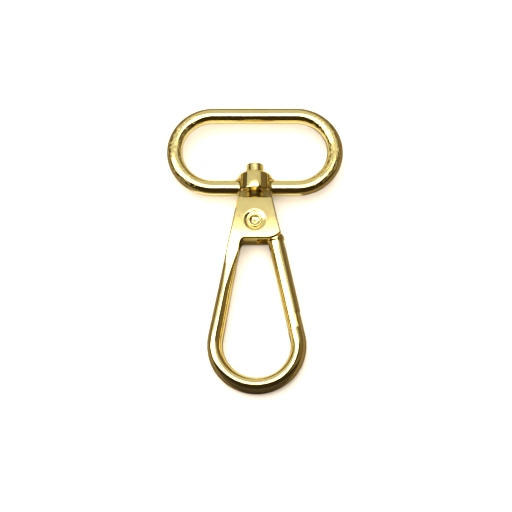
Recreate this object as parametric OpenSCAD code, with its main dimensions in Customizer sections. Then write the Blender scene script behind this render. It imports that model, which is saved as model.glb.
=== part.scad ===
// Swivel bag hook: an oval strap ring turns on a riveted pin above a snap hook with a sprung gate.
// It lies flat. X runs across it, Y along the swivel axis towards the ring, and Z is up.
// Sizes are in millimetres and angles in degrees.

/* [Strap ring] */
// Width of webbing that the ring takes, between its two ends
strap_w = 38; // [30:1:60]
// Clear height inside the ring, from bar to bar
ring_clear_h = 16.3; // [12:0.1:24]
// Diameter of the ring's round bar
ring_bar_d = 4.1; // [3:0.1:5]
// Diameter of the swivel boss
boss_d = 8.75; // [7:0.05:11]
// Length of the swivel boss along the axis
boss_h = 5.1; // [4.5:0.1:7]
// Height of the lower bar's axis above the boss's lower face
bar_seat = 1.4; // [1:0.1:2.5]
// Chamfer round the boss's two ends
boss_chamfer = 0.6; // [0.2:0.05:1]

/* [Swivel pin] */
// Diameter of the pin's shank
pin_d = 3.2; // [2.5:0.1:3.6]
// Diameter of the pin's head
head_d = 4.6; // [4:0.1:6]
// Height of the pin's head
head_h = 2.6; // [1:0.1:4]
// Clear gap between the housing's top and the boss
swivel_gap = 2; // [1:0.1:4]
// Diameter of the neck on the housing's top
neck_d = 4.2; // [3.8:0.1:5.5]
// Diameter of the pin's spread inner end
spread_d = 4.2; // [3.8:0.1:4.8]
// Length of the pin's spread inner end
spread_h = 0.7; // [0.4:0.1:1]

/* [Hook] */
// Thickness of the housing and of the hook's bar
hook_t = 6; // [5.4:0.1:8]
// Width of the housing's top edge
top_w = 8.86; // [8:0.02:12]
// Distance from the housing's top down to the gate's pivot
pivot_drop = 6.47; // [6:0.01:9]
// Distance from the pivot down to the bridge over the hook's opening
bridge_drop = 4.85; // [4.6:0.05:6]
// Sideways place of the centre of the cheeks' rounded lower corner
cheek_corner_x = 3; // [2.5:0.1:4]
// Sideways place of the opening's upper left corner
opening_corner_x = 3.57; // [3:0.01:4.2]
// Fillet in the opening's upper left corner
opening_fillet = 1; // [0.5:0.1:1.5]
// Distance from the housing's top down to the bow's centre
bow_drop = 39.2; // [34:0.1:50]
// Sideways place of the bow's centre, towards the gate
bow_shift = 0.5; // [0:0.1:1]
// Inner radius of the bow
bow_inner_r = 8.6; // [7.5:0.1:12]
// Width of the hook's bar at the bow
bow_w = 3.95; // [3.4:0.05:5]
// Rounding along the edges of the hook's bar
bar_round = 1.5; // [0.5:0.1:1.6]

/* [Gate] */
// Diameter of the gate's rod
rod_d = 4.1; // [3:0.1:4.4]
// Distance of the rod's axis from the pivot, measured across the rod
rod_offset = 4.3; // [4.2:0.05:6]
// Slope of the rod away from the swivel axis
rod_slope = 12; // [8:0.01:13]
// Diameter of the collar at the rod's upper end
collar_d = 4.7; // [4:0.1:5.6]
// Distance along the rod from the pivot's foot down to the collar's lower rim
collar_drop = 6.1; // [5.6:0.1:8]
// Radius of the tang's round eye
eye_r = 3.9; // [3.5:0.05:4.1]
// Width of the slot between the cheeks
slot_w = 3.4; // [3:0.1:3.8]
// Width of the nose that the gate closes against
nose_w = 1.35; // [1:0.05:1.6]
// Length of the half-lap between gate and nose
lap_l = 3.8; // [2.5:0.1:5]
// Distance from the bow's centre line up to the gate's tip
tip_rise = 3.5; // [3:0.1:8]
// Gap at each end of the half-lap
lap_gap = 0.3; // [0.2:0.05:0.5]

/* [Gate pin and spring] */
// Diameter of the gate pin's shank
gate_pin_d = 3.2; // [2.6:0.1:3.4]
// Diameter of the gate pin's rolled front rim
rim_d = 3.8; // [3.5:0.1:4.4]
// Diameter of the hole in the gate pin's front end
rim_hole_d = 2.5; // [1.6:0.1:2.7]
// Diameter of the dished seat round the rim
dish_d = 5.5; // [5:0.1:6.5]
// Depth of the dished seat
dish_depth = 0.35; // [0.2:0.05:0.5]
// Diameter of the gate pin's rear head
rear_head_d = 5; // [4.4:0.1:6]
// Height of the gate pin's rear head
rear_head_h = 0.45; // [0.3:0.05:0.8]
// Diameter of the spring's wire
wire_d = 0.45; // [0.3:0.05:0.5]
// Number of turns in the spring
spring_turns = 2.25; // [1.25:0.5:2.25]

/* [Clearances] */
// Radial clearance of the two running fits
run_gap = 0.05; // [0.03:0.01:0.08]
// End clearance of the ring's boss at each face
end_gap = 0.1; // [0.05:0.05:0.2]
// Clearance of the tang to each cheek and of the collar to the cheeks
side_gap = 0.12; // [0.08:0.01:0.2]
// Radial clearance of each rivet in the parts that it grips
grip_gap = 0.01; // [0.01:0.005:0.02]

/* [Hidden] */
$fn = 64;

// Heights and lengths along the swivel axis, counted from the housing's top face
boss_low_y = swivel_gap;
boss_high_y = boss_low_y + boss_h;
lower_bar_y = boss_low_y + bar_seat;
ring_rise = ring_clear_h + ring_bar_d;
upper_bar_y = lower_bar_y + ring_rise;
ring_end_r = ring_rise / 2;
ring_end_x = (strap_w + ring_bar_d) / 2 - ring_end_r;
pivot_y = -pivot_drop;
bridge_y = pivot_y - bridge_drop;
bow_outer_r = bow_inner_r + bow_w;
bow_mid_r = bow_inner_r + bow_w / 2;
bow = [bow_shift, -bow_drop];
pivot = [0, pivot_y];

// The whole lies on its boss, with the middle of its length at the origin
low_y = bow[1] - bow_outer_r;
high_y = upper_bar_y + ring_bar_d / 2;
rest = [0, -(low_y + high_y) / 2, max(boss_d / 2, hook_t / 2 + rear_head_h)];

// A vector of length 1 along v
function unit(v) = v / norm(v);

// Slope of a straight edge that starts at point p and touches a circle of radius r round the bow
function edge_slope(p, r) =
    let (across = abs(bow[0] - p[0]), down = p[1] - bow[1], far = norm([across, down]))
    asin(r / far) - atan2(across, down);

half_top = top_w / 2;
left_slope = edge_slope([-half_top, 0], bow_outer_r);
right_slope = edge_slope([half_top, 0], bow_outer_r);
opening_corner = [-opening_corner_x, bridge_y];
inner_slope = edge_slope(opening_corner, bow_inner_r);
arm_l = bow_drop * 1.1;

// Stretches of one casting lie a hair inside each other and start a little early, so that they join up
seam = 0.02;
seam_lead = 0.5;

// How far a cut runs past the face it starts from, and a size larger than the whole object
past = 1;
big = 60;

// Gate: its rod's frame has its origin at the foot of the pivot on the rod's axis
eye_gap = 0.15;
tang_t = slot_w - 2 * side_gap;
cavity_r = eye_r + eye_gap;
spread_y = pivot_y + cavity_r + eye_gap;
reach = norm([bow[0] + bow_mid_r, bow[1] + tip_rise] - pivot);
tip_r = reach - lap_gap / 2;
shoulder_r = tip_r + lap_gap;
gate_step_r = tip_r - lap_l;
nose_tip_r = gate_step_r + lap_gap;
slot_side_x = 0.5;
cavity_rise = 2.6;

// Spring, coiled round the gate pin in a pocket on the tang's rear side
coil_play = 0.4;
coil_lift = 0.05;
coil_r = gate_pin_d / 2 + coil_play + wire_d / 2;
pocket_r = coil_r + wire_d / 2 + coil_play;
coil_pitch = wire_d * 1.25;
coil_h = coil_pitch * spring_turns;
pocket_depth = coil_h + wire_d + 3 * coil_lift;
coil_low_z = -tang_t / 2 + wire_d / 2 + coil_lift;
coil_start = -90;
coil_sweep = 360 * spring_turns;
leg_l = 1;
leg_hole_d = wire_d + 0.2;
leg_hole_spare = 0.2;

// Places something drawn from the housing's top face in the finished frame
module set_down() {
    translate(rest) children();
}

// Turns a solid drawn along Z so that it points along Y
module along_y() {
    rotate([-90, 0, 0]) children();
}

// A rectangle with round corners, drawn from exact circles
module round_rect(w, t, r) {
    square([w - 2 * r, t], center = true);
    square([w, t - 2 * r], center = true);
    for (x = [-1, 1], y = [-1, 1])
        translate([x * (w / 2 - r), y * (t / 2 - r)]) circle(r);
}

// Everything within radius r of the gate's pivot, through the whole thickness
module pivot_disc(r) {
    translate([0, pivot_y, -hook_t]) cylinder(r = r, h = 2 * hook_t);
}

// Moves something from the pivot's axis to an angle on the spring's coil
module on_coil(angle) {
    translate([coil_r * cos(angle), pivot_y + coil_r * sin(angle), 0]) children();
}

// Strap ring: one casting, an oval of round bar with a drilled boss in its lower bar
module strap_ring() {
    color("gold") set_down() difference() {
        union() {
            for (y = [lower_bar_y, upper_bar_y])
                translate([-ring_end_x, y, 0]) rotate([0, 90, 0])
                    cylinder(d = ring_bar_d, h = 2 * ring_end_x);
            for (side = [-1, 1])
                translate([side * ring_end_x, lower_bar_y + ring_end_r, 0])
                    rotate([0, 0, -side * 90]) rotate_extrude(angle = 180)
                        translate([ring_end_r, 0]) circle(d = ring_bar_d);
            translate([0, boss_low_y, 0]) along_y() boss_shape();
        }
        translate([0, lower_bar_y - ring_bar_d, 0]) along_y()
            cylinder(d = boss_d, h = ring_bar_d - bar_seat);
        translate([0, boss_low_y - past, 0]) along_y()
            cylinder(d = pin_d + 2 * run_gap, h = boss_h + 2 * past);
    }
}

// The boss, chamfered at both ends
module boss_shape() {
    r = boss_d / 2;
    c = boss_chamfer;
    rotate_extrude()
        polygon([[0, 0], [r - c / 2, 0], [r, c / 2], [r, boss_h - c], [r - c, boss_h], [0, boss_h]]);
}

// Swivel pin: a turned rivet, its head inside the ring and its inner end spread in the housing
module swivel_pin() {
    head_low = boss_high_y + end_gap;
    head_high = head_low + head_h;
    edge = 0.15;
    color("gold") set_down() along_y() rotate_extrude()
        polygon([
            [0, spread_y], [spread_d / 2, spread_y], [pin_d / 2, spread_y + spread_h],
            [pin_d / 2, head_low], [head_d / 2, head_low],
            [head_d / 2, head_high - edge], [head_d / 2 - edge, head_high], [0, head_high]
        ]);
}

// Outline of the two cheeks, optionally grown outwards
module cheek_outline(grow = 0) {
    corner_r = bridge_drop + grow;
    intersection() {
        polygon([
            [-half_top, grow], [half_top + grow / cos(right_slope), grow],
            [half_top + grow / cos(right_slope) + big * tan(right_slope), -big],
            [-half_top - big * tan(left_slope), -big]
        ]);
        union() {
            translate([-big, pivot_y]) square([2 * big, pivot_drop + grow]);
            translate([-big, pivot_y - corner_r]) square([big + cheek_corner_x, corner_r]);
            translate([cheek_corner_x, pivot_y]) circle(corner_r);
        }
    }
}

// Everything above the line from the pivot through the cheeks' outer corner, where the collar would catch
module above_cheek_corner() {
    slope = tan(right_slope);
    k = half_top + pivot_drop * slope - cheek_corner_x;
    y = (slope * k - sqrt(pow(slope * k, 2) - (1 + slope * slope) * (k * k - pow(bridge_drop, 2))))
        / (1 + slope * slope);
    corner = unit([cheek_corner_x + k - slope * y, y]);
    translate(pivot) polygon([[0, 0], big * corner, big * [1, 1], [0, big]]);
}

// Rounds the corner between the bridge's underside and the arm's inner side
module opening_corner_fill() {
    r = opening_fillet;
    bite = 0.5;
    t = r * (1 - sin(inner_slope)) / cos(inner_slope);
    foot = opening_corner - t * [sin(inner_slope), cos(inner_slope)];
    centre = foot + r * [cos(inner_slope), -sin(inner_slope)];
    difference() {
        polygon([
            opening_corner + bite * [-1, 1], [centre[0], bridge_y + bite],
            [centre[0], bridge_y], centre, foot, foot - [bite, 0]
        ]);
        translate(centre) circle(r);
    }
}

// One straight stretch of the hook's bar, which starts just inside the end of the bow
module bar_stretch(angle, up, w, shift, t) {
    translate([bow[0], bow[1], 0]) rotate([0, 0, angle])
        translate([bow_mid_r + shift, up * seam_lead, 0]) rotate([up * 90, 0, 0])
            linear_extrude(arm_l) round_rect(w - 2 * seam, t, bar_round);
}

// Left arm: tapered, because its outer and inner edges leave the bow at different slopes
module arm() {
    wide = 3 * bow_w;
    intersection() {
        bar_stretch(180 - left_slope, 1, wide, -bow_w, hook_t - 2 * seam);
        bar_stretch(180 - inner_slope, 1, wide, bow_w, hook_t + 10 * seam);
        translate([-big, bow[1], -hook_t])
            cube([2 * big, bridge_y - bow[1] + 2, 2 * hook_t]);
    }
}

// Everything outside the face of the nose that meets the gate, optionally moved inwards
module nose_side(grow = 0) {
    along = [sin(right_slope), -cos(right_slope)];
    out = [cos(right_slope), sin(right_slope)];
    start = [half_top, 0] - (nose_w + grow) * out;
    translate([0, 0, -hook_t]) linear_extrude(2 * hook_t)
        polygon([start, start + big * along, start + big * along + 10 * out, start + 10 * out]);
}

// Nose: the bar's last stretch, cut back to a thin lip that the gate closes against
module nose() {
    difference() {
        intersection() {
            bar_stretch(right_slope, -1, bow_w, 0, hook_t - 2 * seam);
            translate([0, bow[1], -hook_t]) cube([big, bow_drop + bridge_y, 2 * hook_t]);
        }
        pivot_disc(nose_tip_r);
        difference() {
            pivot_disc(shoulder_r);
            nose_side();
        }
    }
}

// Hook body: one casting, from the neck on the housing's top round to the nose
module hook_body() {
    bow_turn = 180 + left_slope + right_slope;
    color("goldenrod") set_down() difference() {
        union() {
            translate([0, 0, -hook_t / 2]) linear_extrude(hook_t) {
                cheek_outline();
                opening_corner_fill();
            }
            arm();
            translate([bow[0], bow[1], 0]) rotate([0, 0, 180 - left_slope])
                rotate_extrude(angle = bow_turn)
                    translate([bow_mid_r, 0]) round_rect(bow_w, hook_t, bar_round);
            nose();
            translate([0, -past, 0]) along_y()
                cylinder(d = neck_d, h = past + swivel_gap - end_gap);
        }
        translate([0, pivot_y, -slot_w / 2]) {
            cylinder(r = cavity_r, h = slot_w);
            translate([slot_side_x, -2 * bridge_drop, 0])
                cube([big / 2, 2 * bridge_drop + cavity_rise, slot_w]);
        }
        translate([0, pivot_y, 0]) along_y()
            cylinder(d = pin_d + 2 * grip_gap, h = pivot_drop + swivel_gap);
        translate([0, pivot_y, 0]) along_y()
            cylinder(d = spread_d + 2 * grip_gap, h = spread_y - pivot_y);
        translate([0, spread_y, 0]) along_y()
            cylinder(d1 = spread_d + 2 * grip_gap, d2 = pin_d + 2 * grip_gap, h = spread_h);
        translate([0, pivot_y, -hook_t]) cylinder(d = gate_pin_d + 2 * grip_gap, h = 2 * hook_t);
        translate([0, pivot_y, hook_t / 2 - dish_depth])
            cylinder(d1 = rim_d + 2 * grip_gap, d2 = dish_d, h = dish_depth);
        on_coil(coil_start) translate([0, 0, coil_low_z - leg_l - leg_hole_spare])
            cylinder(d = leg_hole_d, h = leg_l);
    }
}

// Moves a solid drawn down from the pivot's foot onto the gate's rod axis
module on_rod() {
    foot = pivot + rod_offset * [cos(rod_slope), sin(rod_slope)];
    translate([foot[0], foot[1], 0]) rotate([0, 0, rod_slope]) rotate([90, 0, 0]) children();
}

// Flat tang between the cheeks: the eye round the pin and the web out to the collar
module tang() {
    eye_angle = 36;
    neck_angle = -53;
    neck_r = 6.3;
    web_top = 1.2;
    web_inset = 0.15;
    web_out_x = rod_offset + rod_d * 0.67;
    web_out_y = 2.2 - collar_drop;
    collar_in_x = rod_offset + rod_d * 0.36;
    collar_in_y = 0.6 - collar_drop;
    translate([0, pivot_y, -tang_t / 2]) linear_extrude(tang_t) {
        circle(eye_r);
        polygon([
            [0, 0], eye_r * [cos(eye_angle), sin(eye_angle)],
            [half_top + (pivot_drop - web_top) * tan(right_slope) - web_inset, web_top],
            [web_out_x, web_out_y], [collar_in_x, collar_in_y],
            neck_r * [cos(neck_angle), sin(neck_angle)]
        ]);
    }
}

// Gate: one casting, tang, collar and rod, with a half-lap tongue at its tip
module gate() {
    collar_l = 2.6;
    rod_top = collar_drop - collar_l;
    color("gold") set_down() difference() {
        union() {
            tang();
            difference() {
                intersection() {
                    union() {
                        on_rod() translate([0, 0, rod_top]) cylinder(d = collar_d, h = collar_l);
                        on_rod() translate([0, 0, rod_top]) cylinder(d = rod_d, h = bow_drop);
                    }
                    pivot_disc(tip_r);
                }
                translate([0, 0, -hook_t]) linear_extrude(2 * hook_t) {
                    cheek_outline(side_gap);
                    above_cheek_corner();
                }
                difference() {
                    nose_side(side_gap);
                    pivot_disc(gate_step_r);
                }
            }
        }
        translate([0, pivot_y, -hook_t]) cylinder(d = gate_pin_d + 2 * run_gap, h = 2 * hook_t);
        translate([0, pivot_y, -tang_t / 2 - past]) cylinder(r = pocket_r, h = pocket_depth + past);
        on_coil(coil_start + coil_sweep) translate([0, 0, coil_low_z + coil_h])
            cylinder(d = leg_hole_d, h = leg_l + leg_hole_spare);
    }
}

// Gate pin: a semi-tubular rivet with a flat rear head and a rolled rim in front
module gate_pin() {
    front_z = hook_t / 2;
    rear_z = -front_z - rear_head_h;
    shank_r = gate_pin_d / 2;
    rear_r = rear_head_d / 2;
    rear_edge = 0.2;
    roll_r = rim_d / 2;
    roll_edge = 0.15;
    roll_proud = 0.05;
    hole_r = rim_hole_d / 2;
    hole_depth = 1.6;
    hole_tip = 0.6;
    color("gold") set_down() translate([0, pivot_y, 0]) rotate_extrude()
        polygon([
            [0, rear_z], [rear_r - rear_edge, rear_z], [rear_r, rear_z + rear_edge], [rear_r, -front_z],
            [shank_r, -front_z], [shank_r, front_z - dish_depth], [roll_r, front_z - dish_depth],
            [roll_r, front_z + roll_proud - roll_edge], [roll_r - roll_edge, front_z + roll_proud],
            [hole_r + roll_edge, front_z + roll_proud], [hole_r, front_z + roll_proud - roll_edge],
            [hole_r, front_z - hole_depth], [0, front_z - hole_depth - hole_tip]
        ]);
}

// A round tube along a list of points, one ring of corners to each point
function tube_ring(path, i, r, sides) =
    let (
        last = len(path) - 1,
        ahead = unit(path[min(i + 1, last)] - path[max(i - 1, 0)]),
        side = unit([path[i][0], path[i][1], 0]),
        a = unit(side - (side * ahead) * ahead),
        b = cross(ahead, a)
    )
    [for (k = [0:sides - 1]) path[i] + r * (cos(360 * k / sides) * a + sin(360 * k / sides) * b)];

module tube(path, r, sides = 8) {
    n = len(path);
    polyhedron(
        points = [for (i = [0:n - 1]) each tube_ring(path, i, r, sides)],
        faces = concat(
            [[for (k = [0:sides - 1]) k]],
            [for (i = [0:n - 2], k = [0:sides - 1])
                let (next = (k + 1) % sides)
                [i * sides + next, i * sides + k, (i + 1) * sides + k, (i + 1) * sides + next]],
            [[for (k = [sides - 1:-1:0]) (n - 1) * sides + k]]
        )
    );
}

// Gate spring: a torsion coil round the gate pin, one leg in the rear cheek and one in the tang
module gate_spring() {
    step = 22.5;
    turns = [for (a = [0:step:coil_sweep + step / 2])
        let (turn = coil_start + a)
        [coil_r * cos(turn), coil_r * sin(turn), coil_low_z + coil_h * a / coil_sweep]];
    first = turns[0];
    last = turns[len(turns) - 1];
    leg = [0, 0, leg_l];
    path = concat([first - leg], turns, [last + leg]);
    color("silver") set_down() translate([0, pivot_y, 0]) tube(path, wire_d / 2);
}

strap_ring();
swivel_pin();
hook_body();
gate();
gate_pin();
gate_spring();
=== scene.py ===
import bmesh
import bpy
import math
from mathutils import Matrix, Vector


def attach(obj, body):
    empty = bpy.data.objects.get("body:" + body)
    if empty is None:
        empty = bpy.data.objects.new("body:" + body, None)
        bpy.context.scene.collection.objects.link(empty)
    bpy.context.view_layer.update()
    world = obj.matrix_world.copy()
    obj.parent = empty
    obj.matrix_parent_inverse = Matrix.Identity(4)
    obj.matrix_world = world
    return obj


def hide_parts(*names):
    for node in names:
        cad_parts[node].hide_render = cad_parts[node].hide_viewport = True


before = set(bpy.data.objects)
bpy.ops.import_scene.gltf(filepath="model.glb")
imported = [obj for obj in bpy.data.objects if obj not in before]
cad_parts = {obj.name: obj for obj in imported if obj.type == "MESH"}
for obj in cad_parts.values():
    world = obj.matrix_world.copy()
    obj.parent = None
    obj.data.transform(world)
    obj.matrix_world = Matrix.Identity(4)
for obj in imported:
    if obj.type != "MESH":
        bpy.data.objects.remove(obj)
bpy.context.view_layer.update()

# Strap ring. One zinc casting, an oval of round bar with a drilled boss in its lower bar, tumbled, polished
# and plated light gold. The ends keep a little of the casting's pitted skin, and the bars run into the boss
# through small fillets. The swivel pin goes through the boss.
mm = 0.001
axis_z = 4.375
lower_bar_y = 16.35
upper_bar_y = 36.75
ring_bend_x = 10.85
bar_r = 2.05
boss_r = 4.375
boss_low_y = 14.95
boss_high_y = 20.05
pin_hole_r = 1.65
sharpest_smooth = math.radians(38)
pitted_x = (13, 19)
satin_y = (-9, 2)
housing_high_y = 12.95
crown_y = (-5, housing_high_y)


def point(x, y, z):
    """A place given in millimetres."""
    return Vector((x * mm, y * mm, z * mm))


def axes(origin, x_axis, y_axis):
    """A matrix that lays a drawing's X and Y along the two given directions at origin."""
    x_axis = Vector(x_axis).normalized()
    y_axis = Vector(y_axis).normalized()
    turn = Matrix((x_axis, y_axis, x_axis.cross(y_axis))).transposed().to_4x4()
    return Matrix.Translation(point(*origin)) @ turn


def loop_of(bm, matrix, radius, segments):
    """The edges of a new circle."""
    made = bmesh.ops.create_circle(bm, cap_ends=False, radius=radius * mm, segments=segments, matrix=matrix)
    return list({e for v in made["verts"] for e in v.link_edges})


def verts_in(geometry):
    """The corners in a bmesh operator's result."""
    return [g for g in geometry if isinstance(g, bmesh.types.BMVert)]


def edges_in(geometry):
    """The edges in a bmesh operator's result."""
    return [g for g in geometry if isinstance(g, bmesh.types.BMEdge)]


def carry(bm, edges, place):
    """Extrudes a loop of edges and puts each new corner where place says for the old one."""
    made = bmesh.ops.extrude_edge_only(bm, edges=edges)["geom"]
    for v in verts_in(made):
        v.co = place(v.co)
    return [e for e in edges_in(made) if e not in edges and e.is_boundary]


def eased(bm, edges, width, segments=1):
    """Takes a narrow flat or round off sharp edges."""
    bmesh.ops.bevel(bm, geom=edges, offset=width * mm, offset_type="OFFSET", segments=segments, profile=0.5,
                    affect="EDGES", material=-1, clamp_overlap=True)


def joined(bm, other):
    """Adds a second closed shape to a piece that is cast as one."""
    mesh = bpy.data.meshes.new("part")
    other.to_mesh(mesh)
    other.free()
    bm.from_mesh(mesh)
    bpy.data.meshes.remove(mesh)


def turned(bm, outline, centre, along, segments=96, soften=0.0):
    """A closed outline of (radius, height) corners, eased at its corners and spun about an axis."""
    along = Vector(along).normalized()
    out = along.orthogonal().normalized()
    corners = [bm.verts.new(point(*centre) + out * r * mm + along * h * mm) for r, h in outline]
    edges = [bm.edges.new((a, b)) for a, b in zip(corners, corners[1:] + corners[:1])]
    if soften:
        bmesh.ops.bevel(bm, geom=corners + edges, offset=soften * mm, offset_type="OFFSET", segments=3,
                        profile=0.5, affect="VERTICES", material=-1, clamp_overlap=True)
        edges = [e for e in bm.edges if not e.link_faces]
    free = [v for v in bm.verts if not v.link_faces]
    bmesh.ops.spin(bm, geom=edges + free, cent=point(*centre), axis=along, angle=math.tau, steps=segments,
                   use_merge=True)
    bmesh.ops.remove_doubles(bm, verts=bm.verts, dist=0.002 * mm)


def finished(bm, name, material, body, node):
    """Makes a mesh a shown piece that rides on a body and stands for one node of the part."""
    bmesh.ops.recalc_face_normals(bm, faces=bm.faces)
    mesh = bpy.data.meshes.new(name)
    bm.to_mesh(mesh)
    bm.free()
    mesh.shade_smooth()
    mesh.set_sharp_from_angle(angle=sharpest_smooth)
    mesh.materials.append(material)
    piece = bpy.data.objects.new(name, mesh)
    bpy.context.scene.collection.objects.link(piece)
    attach(piece, body)
    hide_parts(node)


def gold_plate(name, colour, gloss, waviness, pits=0.0, satin=0.0, crown=0.0):
    """Plated gold with rolling casting waves and a fine polish haze.

    The lengths are in millimetres: pits is how deep the ring's ends are pitted, and crown is how far the
    housing's face bulges. satin is the housing's dull finish, which fades away down the arm.
    """
    material = bpy.data.materials.new(name)
    material.use_nodes = True
    nodes = material.node_tree.nodes
    links = material.node_tree.links
    shader = nodes["Principled BSDF"]
    shader.inputs["Metallic"].default_value = 1.0
    shader.inputs["Specular Tint"].default_value = (0.62, 0.55, 0.4, 1)
    place = nodes.new("ShaderNodeTexCoord")

    def noise(scale, detail, roughness=0.5):
        n = nodes.new("ShaderNodeTexNoise")
        n.inputs["Scale"].default_value = scale
        n.inputs["Detail"].default_value = detail
        n.inputs["Roughness"].default_value = roughness
        links.new(place.outputs["Object"], n.inputs["Vector"])
        return n

    def spread(source, low, high, to_low, to_high):
        m = nodes.new("ShaderNodeMapRange")
        m.inputs["From Min"].default_value = low
        m.inputs["From Max"].default_value = high
        m.inputs["To Min"].default_value = to_low
        m.inputs["To Max"].default_value = to_high
        links.new(source, m.inputs["Value"])
        return m.outputs["Result"]

    haze = noise(900, 3)
    tint = nodes.new("ShaderNodeMix")
    tint.data_type = "RGBA"
    tint.inputs["A"].default_value = (*colour, 1)
    tint.inputs["B"].default_value = (colour[0] * 0.93, colour[1] * 0.86, colour[2] * 0.72, 1)
    cloud = noise(260, 4, 0.6)
    links.new(spread(cloud.outputs["Fac"], 0.4, 0.7, 0.0, 0.6), tint.inputs["Factor"])
    links.new(tint.outputs["Result"], shader.inputs["Base Color"])
    sheen = spread(haze.outputs["Fac"], 0.3, 0.75, gloss * 0.75, gloss * 1.35)
    where = nodes.new("ShaderNodeSeparateXYZ")
    links.new(place.outputs["Object"], where.inputs["Vector"])
    if satin:
        blend = nodes.new("ShaderNodeMix")
        up_arm = spread(where.outputs["Y"], satin_y[0] * mm, satin_y[1] * mm, 0.0, 1.0)
        links.new(up_arm, blend.inputs["Factor"])
        links.new(sheen, blend.inputs["A"])
        links.new(spread(haze.outputs["Fac"], 0.3, 0.75, satin * 0.85, satin * 1.15), blend.inputs["B"])
        sheen = blend.outputs["Result"]
    links.new(sheen, shader.inputs["Roughness"])

    wave = nodes.new("ShaderNodeBump")
    wave.inputs["Strength"].default_value = 1.0
    wave.inputs["Distance"].default_value = waviness * mm
    links.new(noise(420, 1.5, 0.4).outputs["Fac"], wave.inputs["Height"])
    grain = nodes.new("ShaderNodeBump")
    grain.inputs["Strength"].default_value = 1.0
    grain.inputs["Distance"].default_value = 0.0012 * mm
    links.new(noise(7000, 2).outputs["Fac"], grain.inputs["Height"])
    links.new(wave.outputs["Normal"], grain.inputs["Normal"])
    last = grain
    if crown:
        bend = spread(where.outputs["Y"], crown_y[0] * mm, crown_y[1] * mm, -1.0, 1.0)
        square = nodes.new("ShaderNodeMath")
        square.operation = "MULTIPLY"
        links.new(bend, square.inputs[0])
        links.new(bend, square.inputs[1])
        dome = nodes.new("ShaderNodeBump")
        dome.invert = True
        dome.inputs["Strength"].default_value = 1.0
        dome.inputs["Distance"].default_value = crown * mm
        links.new(square.outputs["Value"], dome.inputs["Height"])
        links.new(last.outputs["Normal"], dome.inputs["Normal"])
        last = dome
    if pits:
        side = nodes.new("ShaderNodeMath")
        side.operation = "ABSOLUTE"
        links.new(where.outputs["X"], side.inputs[0])
        depth = nodes.new("ShaderNodeMath")
        depth.operation = "MULTIPLY"
        at_ends = spread(side.outputs["Value"], pitted_x[0] * mm, pitted_x[1] * mm, 0.0, 1.0)
        links.new(at_ends, depth.inputs[0])
        links.new(spread(noise(1500, 3, 0.75).outputs["Fac"], 0.56, 0.68, 1.0, 0.0), depth.inputs[1])
        pit = nodes.new("ShaderNodeBump")
        pit.inputs["Strength"].default_value = 1.0
        pit.inputs["Distance"].default_value = pits * mm
        links.new(depth.outputs["Value"], pit.inputs["Height"])
        links.new(last.outputs["Normal"], pit.inputs["Normal"])
        last = pit
    links.new(last.outputs["Normal"], shader.inputs["Normal"])
    return material


light_gold = (0.94, 0.78, 0.31)
ring_gold = gold_plate("ring_gold", light_gold, gloss=0.10, waviness=0.015, pits=0.05)

bm = bmesh.new()
upright = axes((ring_bend_x, lower_bar_y, axis_z), (0, 1, 0), (0, 0, 1))
bar_end = loop_of(bm, upright, bar_r, 64)
bend = bmesh.ops.spin(bm, geom=bar_end, cent=point(ring_bend_x, (lower_bar_y + upper_bar_y) / 2, axis_z),
                      axis=(0, 0, 1), angle=math.pi, steps=72, use_merge=False)["geom_last"]
top = edges_in(bend)
for x in (8, 4, 0):
    top = carry(bm, top, lambda c, x=x: Vector((x * mm, c.y, c.z)))

# Each of the bar's long lines leaves it on a round fillet and lands flush on the boss. Under the bar, where
# the boss ends, the fillet shrinks away.
fillet_r = 1.5
least_fillet = 0.06
fillet_steps = 8
sunk_share = 0.8


def fillet_point(corner, share):
    """Where one line of the bar's skin is, at a share of its way round the fillet."""
    up = corner.y / mm - lower_bar_y
    out = corner.z / mm - axis_z
    lift = math.atan2(up, math.hypot(out, 1e-9))
    r = fillet_r * max(least_fillet, min(1.0, (lift + 1.1) / 0.9))
    scale = (bar_r + r) / math.hypot(up, out)
    hub_y = lower_bar_y + up * scale
    hub_z = out * scale
    hub_x = math.sqrt((boss_r + r) ** 2 - min(abs(hub_z), boss_r) ** 2)
    on_bar = Vector((0, up - up * scale, out - hub_z))
    on_boss = Vector((-hub_x, 0, -hub_z)).normalized() * r
    whole = on_bar.angle(on_boss)
    swing = (math.sin((1 - share) * whole) * on_bar + math.sin(share * whole) * on_boss) / math.sin(whole)
    return hub_x + swing.x, hub_y + swing.y, axis_z + hub_z + swing.z


skin = {}
edge = carry(bm, bar_end, lambda c: c.copy())
for v in {v for e in edge for v in e.verts}:
    skin[v] = v.co.copy()
for step in range(fillet_steps + 1):
    before = dict(skin)
    made = bmesh.ops.extrude_edge_only(bm, edges=edge)["geom"]
    skin = {}
    for v in verts_in(made):
        old = min(before, key=lambda b: (b.co - v.co).length_squared)
        skin[v] = before[old]
    for v, line in skin.items():
        v.co = point(*fillet_point(line, step / fillet_steps))
    edge = [e for e in edges_in(made) if all(v in skin for v in e.verts)]
sunk = carry(bm, edge, lambda c: Vector((c.x * sunk_share, max(c.y, (boss_low_y + 0.15) * mm),
                                         axis_z * mm + (c.z - axis_z * mm) * sunk_share)))
bmesh.ops.holes_fill(bm, edges=sunk, sides=0)
bmesh.ops.remove_doubles(bm, verts=bm.verts, dist=0.0005 * mm)
bmesh.ops.mirror(bm, geom=bm.verts[:] + bm.edges[:] + bm.faces[:], axis="X", merge_dist=0.002 * mm)
boss = bmesh.new()
turned(boss, [(pin_hole_r, boss_low_y), (boss_r - 0.2, boss_low_y), (boss_r, boss_low_y + 0.3),
              (boss_r, boss_high_y - 0.65), (boss_r - 0.62, boss_high_y), (pin_hole_r, boss_high_y)],
       (0, 0, axis_z), (0, 1, 0), segments=128, soften=0.12)
joined(bm, boss)
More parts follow.
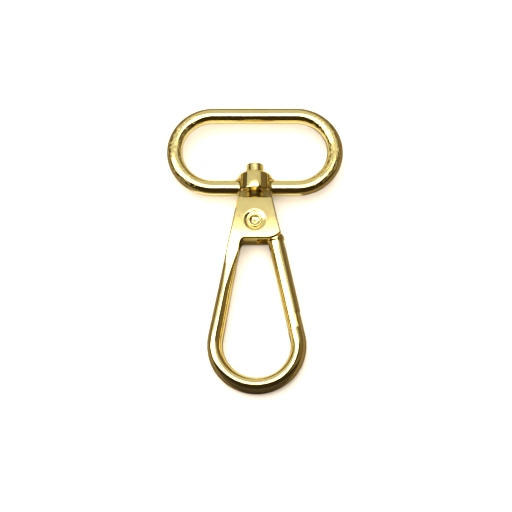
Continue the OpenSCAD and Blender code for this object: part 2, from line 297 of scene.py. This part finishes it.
finished(bm, "strap_ring_casting", ring_gold, "ring", "strap_ring")


# Swivel pin. A turned steel rivet, plated with the rest. Its plain drum head stands inside the ring, its
# shank fills the boss's hole, and its inner end is spread inside the housing's top wall.
head_r = 2.3
head_low_y = 20.15
head_high_y = 22.75
head_chamfer = 0.15
shank_r = 1.6
spread_r = 2.1
spread_low_y = 10.68
spread_high_y = 11.38
pin_gold = gold_plate("pin_gold", (0.80, 0.67, 0.28), gloss=0.17, waviness=0.012)
bm = bmesh.new()
turned(bm, [(0.0, spread_low_y), (spread_r, spread_low_y), (shank_r, spread_high_y), (shank_r, head_low_y),
            (head_r, head_low_y), (head_r, head_high_y - head_chamfer), (head_r - head_chamfer, head_high_y),
            (0.0, head_high_y)], (0, 0, axis_z), (0, 1, 0))
finished(bm, "swivel_pin_rivet", pin_gold, "hook", "swivel_pin")


# Hook body. One zinc casting: a flat wedge of two cheeks with a slot for the gate, a short neck on top, and
# an arm that rounds off as it runs down into the bow and up to the thin nose. Polished on a soft wheel and
# plated, so its flat front keeps a satin sheen and its edges are eased.
front_z = 7.375
rear_z = 1.375
pivot = (0.0, 6.48)
bow = (0.5, -26.25)
bow_inner_r = 8.6
bow_outer_r = 12.55
left_slope = math.radians(11.353)
right_slope = math.radians(12.847)
inner_slope = math.radians(9.465)
bridge_y = 1.63
half_top = 4.43
opening_x = -3.57
cheek_corner = (3.0, 6.48)
cheek_r = 4.85
arm_cut_y = -1.2


def arc(centre, radius, start, end, steps):
    """Points along an arc, in degrees."""
    turn = [math.radians(start + (end - start) * i / steps) for i in range(steps + 1)]
    return [(centre[0] + radius * math.cos(t), centre[1] + radius * math.sin(t)) for t in turn]


def plate(bm, outline, low_z, high_z):
    """A flat outline given a thickness."""
    corners = [bm.verts.new(point(x, y, low_z)) for x, y in outline]
    face = bm.faces.new(corners)
    made = bmesh.ops.extrude_face_region(bm, geom=[face])["geom"]
    bmesh.ops.translate(bm, verts=verts_in(made), vec=(0, 0, (high_z - low_z) * mm))
    bmesh.ops.recalc_face_normals(bm, faces=bm.faces)


def carved(blank, cutter, operation="DIFFERENCE"):
    """The blank after the cutter is taken out of it, or joined to it."""
    shapes = []
    for bm in (blank, cutter):
        bmesh.ops.recalc_face_normals(bm, faces=bm.faces)
        mesh = bpy.data.meshes.new("blank")
        bm.to_mesh(mesh)
        bm.free()
        shapes.append(bpy.data.objects.new("blank", mesh))
        bpy.context.scene.collection.objects.link(shapes[-1])
    cut = shapes[0].modifiers.new("cut", "BOOLEAN")
    cut.operation = operation
    cut.solver = "EXACT"
    cut.object = shapes[1]
    bpy.context.view_layer.update()
    result = bmesh.new()
    result.from_object(shapes[0], bpy.context.evaluated_depsgraph_get())
    for shape in shapes:
        bpy.data.objects.remove(shape)
    return result


def cut_away(blank, outline, low_z, high_z):
    """The blank after a flat outline is cut out of it between two heights."""
    cutter = bmesh.new()
    plate(cutter, outline, low_z, high_z)
    return carved(blank, cutter)


def on_left_side(y):
    """Where the hook's left side is at a height, and so on for its right side and its opening's left side."""
    return -half_top - (housing_high_y - y) * math.tan(left_slope)


def on_right_side(y):
    return half_top + (housing_high_y - y) * math.tan(right_slope)


def on_inner_side(y):
    return opening_x - (bridge_y - y) * math.tan(inner_slope)


# The cheeks' lower corner leaves the right side where the two lines meet.
corner_turn = next(t for t in range(-90, 0)
                   if cheek_corner[0] + cheek_r * math.cos(math.radians(t))
                   > on_right_side(cheek_corner[1] + cheek_r * math.sin(math.radians(t)))) - 1
fillet_start = (on_inner_side(0.7), 0.7)
corner_r = 1.0
outline = [(-half_top, housing_high_y), (on_left_side(arm_cut_y), arm_cut_y),
           (on_inner_side(arm_cut_y), arm_cut_y), fillet_start]
outline += arc((opening_x + 0.98, bridge_y - corner_r), corner_r, 172, 90, 6)[1:]
outline += arc(cheek_corner, cheek_r, -90, corner_turn, 16)
outline += [(half_top, housing_high_y)]
bm = bmesh.new()
plate(bm, outline, rear_z, front_z)
cut_face = min(bm.faces, key=lambda f: f.calc_center_median().y)
bmesh.ops.delete(bm, geom=[cut_face], context="FACES")


def rim_edges(bm):
    """Edges round the front and back faces."""
    def lies_at(e, z):
        return all(abs(v.co.z - z * mm) < 0.01 * mm for v in e.verts)

    return [e for e in bm.edges if not e.is_boundary and (lies_at(e, front_z) or lies_at(e, rear_z))]


edge_flat = 0.3
eased(bm, rim_edges(bm), edge_flat)

# Two lines across the arm's root keep the housing's flat faces flat.
for y in (-0.9, 0.6):
    bmesh.ops.bisect_plane(bm, geom=bm.verts[:] + bm.edges[:] + bm.faces[:], plane_co=point(0, y, 0),
                           plane_no=(0, 1, 0))
mouth = [e for e in bm.edges if e.is_boundary]

# The arm, the bow and the last stretch up to the nose are one bar, drawn section by section: its outer and
# inner edges, and how wide its rounding is on each. The wheel has taken more off the sides that face right.
stations = []
least_round = 0.3
slight_round = 1.35
full_round = 2.5
arm_steps = 22
arm_top_y = arm_cut_y - 0.4
outer_end = (bow[0] - bow_outer_r * math.cos(left_slope), bow[1] + bow_outer_r * math.sin(left_slope))
inner_end = (bow[0] - bow_inner_r * math.cos(inner_slope), bow[1] + bow_inner_r * math.sin(inner_slope))
for i in range(arm_steps + 1):
    share = i / arm_steps
    outer = Vector((on_left_side(arm_top_y), arm_top_y)).lerp(Vector(outer_end), share)
    inner = Vector((on_inner_side(arm_top_y), arm_top_y)).lerp(Vector(inner_end), share)
    outer_round = least_round + (slight_round - least_round) * min(1, share / 0.4) ** 0.6
    inner_round = least_round + (full_round - least_round) * min(1, share / 0.55) ** 0.8
    stations.append((outer, inner, outer_round, inner_round))
bow_steps = 60
for i in range(1, bow_steps + 1):
    share = i / bow_steps
    t = math.radians(180) - left_slope + (math.pi + left_slope + right_slope) * share
    out = Vector((math.cos(t), math.sin(t)))
    stations.append((Vector(bow) + out * bow_outer_r, Vector(bow) + out * bow_inner_r,
                     slight_round + (full_round - slight_round) * share,
                     full_round + (slight_round - full_round) * share))
bow_end = stations[-1]
nose_steps = 8
nose_step = 1.2
for i in range(1, nose_steps + 1):
    up = Vector((-math.sin(right_slope), math.cos(right_slope))) * nose_step * i
    stations.append((bow_end[0] + up, bow_end[1] + up, full_round, slight_round))


def section_point(station, spot):
    """A corner of the bar's rounded section. spot is (side, face, angle round the corner)."""
    outer, inner, outer_round, inner_round = station
    middle = (outer + inner) / 2
    across = outer - inner
    half_w = across.length / 2
    across.normalize()
    half_t = (front_z - rear_z) / 2
    side, face, turn = spot
    r = outer_round if side > 0 else inner_round
    r = min(r, 2 * half_w - slight_round - 0.05)
    rise = min(1.35 * r, half_t - 0.1)
    w = side * (half_w - r + r * math.cos(turn))
    z = face * (half_t - rise + rise * math.sin(turn))
    return Vector(((middle.x + across.x * w) * mm, (middle.y + across.y * w) * mm, (axis_z + z) * mm))


corner_steps = 8
quarter = [math.radians(90 * i / corner_steps) for i in range(corner_steps + 1)]
spots = [(1, 1, t) for t in quarter] + [(-1, 1, t) for t in reversed(quarter)]
spots += [(-1, -1, t) for t in quarter] + [(1, -1, t) for t in reversed(quarter)]
ring = [bm.verts.new(section_point(stations[0], s)) for s in spots]
spot_of = dict(zip(ring, spots))
edge = [bm.edges.new((a, b)) for a, b in zip(ring, ring[1:] + ring[:1])]
bmesh.ops.bridge_loops(bm, edges=mouth + edge)
for station in stations[1:]:
    made = bmesh.ops.extrude_edge_only(bm, edges=edge)["geom"]
    known = {}
    for v in verts_in(made):
        old = next(e.other_vert(v) for e in v.link_edges if e.other_vert(v) in spot_of)
        known[v] = spot_of[old]
    for v, spot in known.items():
        v.co = section_point(station, spot)
    spot_of = known
    edge = [e for e in edges_in(made) if all(v in known for v in e.verts)]
bmesh.ops.holes_fill(bm, edges=edge, sides=0)

# The nose: everything that the gate's tongue needs is cut out of the bar's end. The cuts here and below run
# from under_z to over_z, and their far corners stand clear of the piece.
shoulder_r = 30.4837
nose_tip_r = 26.6837
nose_w = 1.35
under_z = -2
over_z = 12


def on_nose_face(radius, grow=0.0):
    """Where the nose's face crosses a circle round the pivot, as an angle in degrees."""
    out = Vector((math.cos(right_slope), math.sin(right_slope)))
    start = Vector((half_top, housing_high_y)) - out * (nose_w + grow)
    along = Vector((math.sin(right_slope), -math.cos(right_slope)))
    reach = next(k / 100 for k in range(6000)
                 if (start + along * k / 100 - Vector(pivot)).length > radius)
    place = start + along * reach - Vector(pivot)
    return math.degrees(math.atan2(place.y, place.x))


nose_cut = arc(pivot, shoulder_r, -84, on_nose_face(shoulder_r), 12)
nose_cut += arc(pivot, nose_tip_r, on_nose_face(nose_tip_r), -56, 8)
nose_cut += [(18, -5), (3, -5)]
bm = cut_away(bm, nose_cut, under_z, over_z)


def lap_edges(bm):
    """The sharp edges round the lap between the nose and the tongue."""
    return [e for e in bm.edges if len(e.link_faces) == 2 and e.calc_face_angle() > math.radians(50)
            and all(-27 * mm < v.co.y < -16 * mm and v.co.x > 4 * mm for v in e.verts)]


lap_ease = 0.28
eased(bm, lap_edges(bm), lap_ease)

# The gate's slot, open at the right side and below, and the seat of the gate pin's rolled rim.
slot_left_x = 0.5
slot_high_y = 9.08
slot_low_z = 2.675
slot_high_z = 6.075
tang_room_r = 4.05
slot = [(slot_left_x, -4), (20, -4), (20, slot_high_y), (slot_left_x, slot_high_y)]
bm = cut_away(bm, slot, slot_low_z, slot_high_z)
bm = cut_away(bm, arc(pivot, tang_room_r, 0, 357.5, 143), slot_low_z, slot_high_z)
cutter = bmesh.new()
pin_room_r = 1.61
seat_depth = 0.35
dish = [(2.0, 1.0), (2.2, 0.88), (2.45, 0.58), (2.7, 0.25)]
deep_z = front_z - 8
turned(cutter, [(0.0, deep_z), (pin_room_r, deep_z), (pin_room_r, front_z - seat_depth)]
       + [(r, front_z - seat_depth * share) for r, share in dish]
       + [(2.9, front_z - 0.02), (3.2, front_z + 0.05), (0.0, front_z + 0.05)],
       (pivot[0], pivot[1], 0), (0, 0, 1))
bm = carved(bm, cutter)

# A hair's width round each flat front face keeps the eased edges from shading into it.
front = [f for f in bm.faces if f.normal.z > 0.9999
         and abs(f.calc_center_median().z - front_z * mm) < 0.001 * mm]
bmesh.ops.inset_region(bm, faces=front, thickness=0.05 * mm, use_boundary=True, use_even_offset=True)
neck = bmesh.new()
neck_r = 2.1
neck_high_y = 14.85
turned(neck, [(0.0, 11.5), (neck_r + 0.1, 11.5), (neck_r + 0.4, housing_high_y - 0.01),
              (neck_r + 0.14, housing_high_y + 0.1), (neck_r, housing_high_y + 0.35),
              (neck_r, neck_high_y - 0.12), (neck_r - 0.12, neck_high_y), (0.0, neck_high_y)],
       (0, 0, axis_z), (0, 1, 0))
joined(bm, neck)
hook_gold = gold_plate("hook_gold", light_gold, gloss=0.10, waviness=0.010, satin=0.17, crown=0.4)
finished(bm, "hook_casting", hook_gold, "hook", "hook_body")


# Gate. One zinc casting: a round rod with a drum-shaped collar, a flat tang that hangs on the gate pin in the
# housing's slot, and a tongue at its tip that laps inside the hook's nose. Polished and plated like the hook.
rod_r = 2.05
collar_r = 2.35
rod_slope = math.radians(12)
rod_offset = 4.3
rod_foot = (pivot[0] + rod_offset * math.cos(rod_slope), pivot[1] + rod_offset * math.sin(rod_slope))
rod_top = 3.5
collar_low = 6.1
tip_r = 30.1837
step_r = 26.3837
gate_pin_r = 1.6
rod_run = 33.0
rod_down = Vector((math.sin(rod_slope), -math.cos(rod_slope), 0))
bm = bmesh.new()
turned(bm, [(0.0, rod_top), (collar_r, rod_top), (collar_r, collar_low - 0.5),
            (collar_r - 0.16, collar_low - 0.1), (collar_r - 0.42, collar_low),
            (rod_r + 0.03, collar_low + 0.06), (rod_r, collar_low + 0.3), (rod_r, rod_run), (0.0, rod_run)],
       (*rod_foot, axis_z), rod_down)
for z in [collar_low + 2 * i for i in range(1, 14)]:
    bmesh.ops.bisect_plane(bm, geom=bm.verts[:] + bm.edges[:] + bm.faces[:],
                           plane_co=point(*rod_foot, axis_z) + rod_down * z * mm, plane_no=rod_down)

# The rod's end swings clear of the shoulder, and its outer side makes room for the nose.
tip_cut = arc(pivot, tip_r, -90, -50, 20) + [(40, -60), (-20, -60)]
bm = cut_away(bm, tip_cut, under_z, over_z)
face_gap = 0.08
nose_room = arc(pivot, step_r, on_nose_face(step_r, face_gap), -50, 10)
nose_room += [(30, -40)] + arc(pivot, tip_r + 2, on_nose_face(tip_r + 2, face_gap), -75, 1)[:1]
bm = cut_away(bm, nose_room, under_z, over_z)
eased(bm, lap_edges(bm), lap_ease)

# The rod's top makes room for the two cheeks.
side_gap = 0.12
cheek_room = [(-8, 20), (-8, bridge_y - side_gap)]
cheek_room += arc(cheek_corner, cheek_r + side_gap, -90, corner_turn, 16)
corner_x, corner_y = cheek_room[-1]
cheek_room += [(5 * corner_x, pivot[1] + 5 * (corner_y - pivot[1])), (5 * corner_x, 20)]
bm = cut_away(bm, cheek_room, under_z, over_z)

# The tang, with the gate pin's hole and a pocket for the spring behind it.
tang = bmesh.new()
tang_half = 1.58
tang_r = 3.9
tang_reach = 6.3
tang_corner = math.radians(-53)
pocket_r = 2.85
pocket_depth = 1.87
tang_top_y = pivot[1] + 1.2
edge_x = on_right_side(tang_top_y) - 0.15
eye = arc(pivot, tang_r, 36, 307, 60)
eye += [(tang_reach * math.cos(tang_corner), pivot[1] + tang_reach * math.sin(tang_corner)),
        (rod_offset + 1.476, pivot[1] - 5.5), (rod_offset + 2.747, pivot[1] - 3.9), (edge_x, tang_top_y)]
plate(tang, eye, axis_z - tang_half, axis_z + tang_half)
eased(tang, [e for e in tang.edges if abs(e.verts[0].co.z - e.verts[1].co.z) < 1e-6], 0.12, segments=2)
tang = cut_away(tang, arc(pivot, gate_pin_r + 0.05, 0, 355, 71), under_z, over_z)
tang = cut_away(tang, arc(pivot, pocket_r, 0, 355, 71), under_z, axis_z - tang_half + pocket_depth)
bm = carved(bm, tang, "UNION")
gate_gold = gold_plate("gate_gold", light_gold, gloss=0.10, waviness=0.010)
finished(bm, "gate_casting", gate_gold, "gate", "gate")


# Gate pin. A semi-tubular steel rivet, plated: its rim is rolled over in front, round a drilled hole with a
# pointed bottom, and its flat head shows at the back.
rear_head_r = 2.5
rear_head_z = 0.925
rim_r = 1.9
hole_r = 1.25
rivet_gold = gold_plate("rivet_gold", (0.90, 0.75, 0.31), gloss=0.16, waviness=0.012)
bm = bmesh.new()
roll = arc((1.56, front_z - 0.22), 0.31, 0, 180, 10)
turned(bm, [(0.0, rear_head_z), (rear_head_r - 0.22, rear_head_z), (rear_head_r - 0.05, 1.02),
            (rear_head_r, 1.2), (rear_head_r, rear_z), (gate_pin_r, rear_z),
            (gate_pin_r, front_z - seat_depth), (rim_r - 0.02, front_z - seat_depth)]
       + roll + [(hole_r, front_z - 0.5), (hole_r - 0.05, front_z - 0.75), (0.62, front_z - 1.0),
                 (0.45, front_z - 0.98), (0.3, front_z - 0.86), (0.0, front_z - 1.15)],
       (pivot[0], pivot[1], 0), (0, 0, 1))
finished(bm, "gate_pin_rivet", rivet_gold, "hook", "gate_pin")


# Gate spring. A torsion coil of drawn steel wire round the gate pin, in a pocket behind the tang. One leg
# stands in the rear cheek and the other in the tang, and it shuts the gate.
wire_r = 0.225
coil_r = 2.225
coil_turns = 2.25
coil_low_z = 3.07
coil_rise = 1.266
leg_bend = 0.25
leg_run = 0.55
spring_steel = bpy.data.materials.new("spring_steel")
spring_steel.use_nodes = True
wire_nodes = spring_steel.node_tree.nodes
wire_links = spring_steel.node_tree.links
wire_shader = wire_nodes["Principled BSDF"]
wire_shader.inputs["Metallic"].default_value = 1.0
wire_shader.inputs["Base Color"].default_value = (0.55, 0.55, 0.56, 1)
drawn = wire_nodes.new("ShaderNodeTexNoise")
drawn.inputs["Scale"].default_value = 3500
wire_place = wire_nodes.new("ShaderNodeTexCoord")
wire_links.new(wire_place.outputs["Object"], drawn.inputs["Vector"])
dull = wire_nodes.new("ShaderNodeMapRange")
dull.inputs["To Min"].default_value = 0.22
dull.inputs["To Max"].default_value = 0.45
wire_links.new(drawn.outputs["Fac"], dull.inputs["Value"])
wire_links.new(dull.outputs["Result"], wire_shader.inputs["Roughness"])
bm = bmesh.new()
wire = loop_of(bm, axes((pivot[0], pivot[1] - coil_r, coil_low_z), (0, 1, 0), (0, 0, 1)), wire_r, 12)
coil_steps = 54
coiled = bmesh.ops.spin(bm, geom=wire, cent=point(pivot[0], pivot[1], coil_low_z), axis=(0, 0, 1),
                        dvec=(0, 0, coil_rise * mm / coil_steps), angle=math.tau * coil_turns,
                        steps=coil_steps, use_merge=False)["geom_last"]
for edges, leg in ((wire, -1), (edges_in(coiled), 1)):
    centre = sum((v.co for e in edges for v in e.verts), Vector()) / (2 * len(edges))
    out = (centre - point(pivot[0], pivot[1], centre.z / mm)).normalized()
    lean = Vector((0, 0, 1)).cross(out)
    tipped = carry(bm, edges, lambda c: centre + out * (c - centre).dot(out)
                   + lean * (wire_r * mm * 0.4 - (c.z - centre.z) * leg * 0.9)
                   + Vector((0, 0, leg * leg_bend * mm)))
    tipped = carry(bm, tipped, lambda c: c + Vector((0, 0, leg * leg_run * mm)))
    bmesh.ops.holes_fill(bm, edges=tipped, sides=0)
finished(bm, "gate_spring_wire", spring_steel, "hook", "gate_spring")


# Floor and lights. A white floor and backdrop are for the eye, and polished plate gets its own surroundings:
# a bright strip and a paler wall overhead, dim side walls, dark sheets of painted shade and pale cards of
# painted reflection. The floor is tipped so that the boss and the bow's back both touch it.
floor_tip = math.radians(-1.4)
floor_hinge_y = 17.5
camera_target = (0.28, -2.35, axis_z)
camera_back = 450
camera_tilt = math.radians(19)
camera_data = bpy.data.cameras.new("camera")
camera = bpy.data.objects.new("camera", camera_data)
bpy.context.scene.collection.objects.link(camera)
camera_data.sensor_width = 36
camera_data.lens = 122.96
camera_way = Vector((0, -math.sin(camera_tilt), math.cos(camera_tilt)))
camera.location = point(*camera_target) + camera_way * camera_back * mm
camera.rotation_euler = (camera_tilt, 0, 0)
camera_data.clip_start = 0.01
camera_data.clip_end = 10
bpy.context.scene.camera = camera


def sheet(name, colour, across, along, height):
    """A flat sheet tipped like the floor, from its first to its last x and y."""
    bm = bmesh.new()
    corners = [point(x, y - floor_hinge_y, height) for x, y in
               ((across[0], along[0]), (across[1], along[0]), (across[1], along[1]), (across[0], along[1]))]
    bm.faces.new([bm.verts.new(c) for c in corners])
    mesh = bpy.data.meshes.new(name)
    bm.to_mesh(mesh)
    bm.free()
    laid = bpy.data.objects.new(name, mesh)
    bpy.context.scene.collection.objects.link(laid)
    laid.location = point(0, floor_hinge_y, 0)
    laid.rotation_euler = (floor_tip, 0, 0)
    paper = bpy.data.materials.new(name)
    paper.use_nodes = True
    matt = paper.node_tree.nodes["Principled BSDF"].inputs
    matt["Base Color"].default_value = (*colour, 1)
    matt["Roughness"].default_value = 0.9
    mesh.materials.append(paper)
    return laid


# The eye sees the white floor. The polished plate sees painted shade instead: a dim warm sheet in its place
# and a darker one beyond the bow, and pale cards of painted reflection under the ring and inside the hook.
whole = (-3000, 3000)
bow_low_y = -38.9
floor = sheet("floor", (0.95, 0.95, 0.95), whole, whole, 0)
floor.visible_glossy = False
# Painted shade: a dim warm sheet, seen only in the metal, in place of the white floor.
table = sheet("table", (0.12, 0.10, 0.06), whole, whole, 0.01)
# Painted shade: a near-black sheet beyond the bow, seen only in the metal.
shade = sheet("shade", (0.015, 0.012, 0.01), whole, (whole[0], bow_low_y), 0.015)
# Painted reflection: pale cards, seen only in the metal, that give bright rims under the ring and inside the
# hook.
card = sheet("card", (0.55, 0.60, 0.70), (-19, 13), (3, 45), 0.02)
eye_card = sheet("eye_card", (0.50, 0.50, 0.50), (-4.5, 5), (-34, 0), 0.02)
for seen_in_metal in (table, shade, card, eye_card):
    seen_in_metal.visible_camera = False
    seen_in_metal.visible_diffuse = False
    seen_in_metal.visible_shadow = False


# A bright backdrop stands all round, for the eye only.
backdrop_r = 2.9
bm = bmesh.new()
bmesh.ops.create_cone(bm, cap_ends=False, segments=96, radius1=backdrop_r, radius2=backdrop_r, depth=5)
backdrop_mesh = bpy.data.meshes.new("backdrop")
bm.to_mesh(backdrop_mesh)
bm.free()
backdrop = bpy.data.objects.new("backdrop", backdrop_mesh)
bpy.context.scene.collection.objects.link(backdrop)
bright = bpy.data.materials.new("backdrop")
bright.use_nodes = True
glow = bright.node_tree.nodes["Principled BSDF"].inputs
glow["Base Color"].default_value = (0, 0, 0, 1)
glow["Emission Color"].default_value = (1, 1, 1, 1)
glow["Emission Strength"].default_value = 1.0
backdrop_mesh.materials.append(bright)
backdrop.visible_glossy = False
backdrop.visible_diffuse = False
backdrop.visible_shadow = False


def hung(name, light, side_angles, up_angles, height):
    """Hangs a light's rectangle overhead so that it spans the given angles seen from the hook."""
    left, right = (height * math.tan(math.radians(t)) for t in side_angles)
    near, far = (height * math.tan(math.radians(t)) for t in up_angles)
    data = bpy.data.lights.new(name, "AREA")
    data.shape = "RECTANGLE"
    data.size = right - left
    data.size_y = far - near
    data.energy = light * math.pi * data.size * data.size_y
    lamp = bpy.data.objects.new(name, data)
    bpy.context.scene.collection.objects.link(lamp)
    lamp.location = ((left + right) / 2, (near + far) / 2, height)
    return lamp


# The metal sees the bright strip, the paler wall beyond it and dim side walls. The fill lights the floor.
strip = hung("bright_strip", 4.5, (-60, 22), (-15, 19.6), 2.5)
wall = hung("pale_wall", 0.65, (-56, 40), (19.8, 87), 2.45)
left_wall = hung("left_wall", 0.1, (-84, -60), (-30, 84), 2.4)
right_wall = hung("right_wall", 0.15, (40, 84), (-30, 84), 2.4)
left_wall.data.color = right_wall.data.color = (1, 0.78, 0.5)
for seen_in_metal in (strip, wall, left_wall, right_wall):
    seen_in_metal.visible_diffuse = False
fill = hung("wide_fill", 4.2, (-62, 34), (-32, 60), 2.0)
fill.visible_glossy = False
fill.data.color = (1, 0.88, 0.74)
world = bpy.data.worlds.new("room")
bpy.context.scene.world = world
world.use_nodes = True
world.node_tree.nodes["Background"].inputs["Color"].default_value = (1, 0.7, 0.42, 1)
world.node_tree.nodes["Background"].inputs["Strength"].default_value = 0.035
bpy.context.scene.view_settings.view_transform = "Standard"
